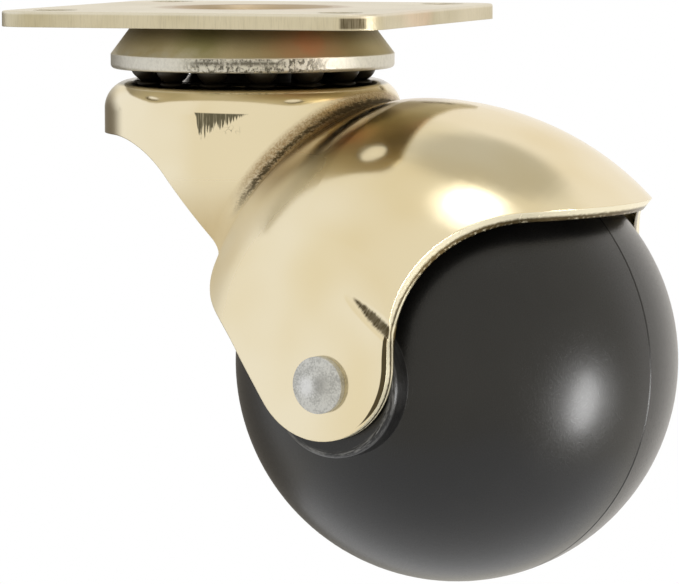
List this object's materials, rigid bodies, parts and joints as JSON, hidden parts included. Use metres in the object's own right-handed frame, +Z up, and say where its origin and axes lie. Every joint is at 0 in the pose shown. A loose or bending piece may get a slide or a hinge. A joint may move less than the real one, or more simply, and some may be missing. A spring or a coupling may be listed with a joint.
{
  "type": "ball castor",
  "caption": "Hooded ball castor: black rubber ball on a riveted axle under a polished brass-plated pressed hood, swivelling on a ball race below a square screw-on plate",
  "frame": {"origin": "on the swivel axis in the plane of the plate's top face, at the centre of the four screw holes", "axes": "+Z up out of the mounting face, X and Y along the plate's sides; at rest the hood trails 12.5 degrees to the right of +X seen from above"},
  "size_m": [0.0761, 0.06, 0.0655],
  "materials": {
    "plate_zinc": "pressed steel, pale yellow zinc passivate with sheared edges",
    "rivet_zinc": "dull zinc plated steel",
    "bearing_steel": "greased bearing steel",
    "hood_brass": "polished pale brass plate on drawn steel",
    "ball_rubber": "satin black moulded rubber"
  },
  "bodies": {
    "plate": {"mounting_plate": "plate_zinc", "race_cup": "plate_zinc", "king_rivet": "rivet_zinc", "king_washer": "rivet_zinc"},
    "ball_ring": {"swivel_ball_01": "bearing_steel", "swivel_ball_02": "bearing_steel", "swivel_ball_03": "bearing_steel", "swivel_ball_04": "bearing_steel", "swivel_ball_05": "bearing_steel", "swivel_ball_06": "bearing_steel", "swivel_ball_07": "bearing_steel", "swivel_ball_08": "bearing_steel", "swivel_ball_09": "bearing_steel", "swivel_ball_10": "bearing_steel", "swivel_ball_11": "bearing_steel", "swivel_ball_12": "bearing_steel", "swivel_ball_13": "bearing_steel", "swivel_ball_14": "bearing_steel"},
    "fork": {"hood": "hood_brass", "axle_rivet": "rivet_zinc", "axle_sleeve": "rivet_zinc"},
    "wheel": {"ball_wheel": "ball_rubber"}
  },
  "joints": [
    {"name": "swivel", "type": "hinge", "parent": "plate", "child": "fork", "pos_m": [0, 0, -0.0084], "axis": [0, 0, 1], "continuous": true},
    {"name": "ball_orbit", "type": "hinge", "parent": "plate", "child": "ball_ring", "pos_m": [0, 0, -0.0067], "axis": [0, 0, 1], "continuous": true},
    {"name": "wheel_spin", "type": "hinge", "parent": "fork", "child": "wheel", "pos_m": [0.02743, -0.00608, -0.0401], "axis": [0.2164, 0.9763, 0], "continuous": true}
  ],
  "couplings": [
    {"joint": "ball_orbit", "follows": "swivel", "ratio": 0.5}
  ]
}
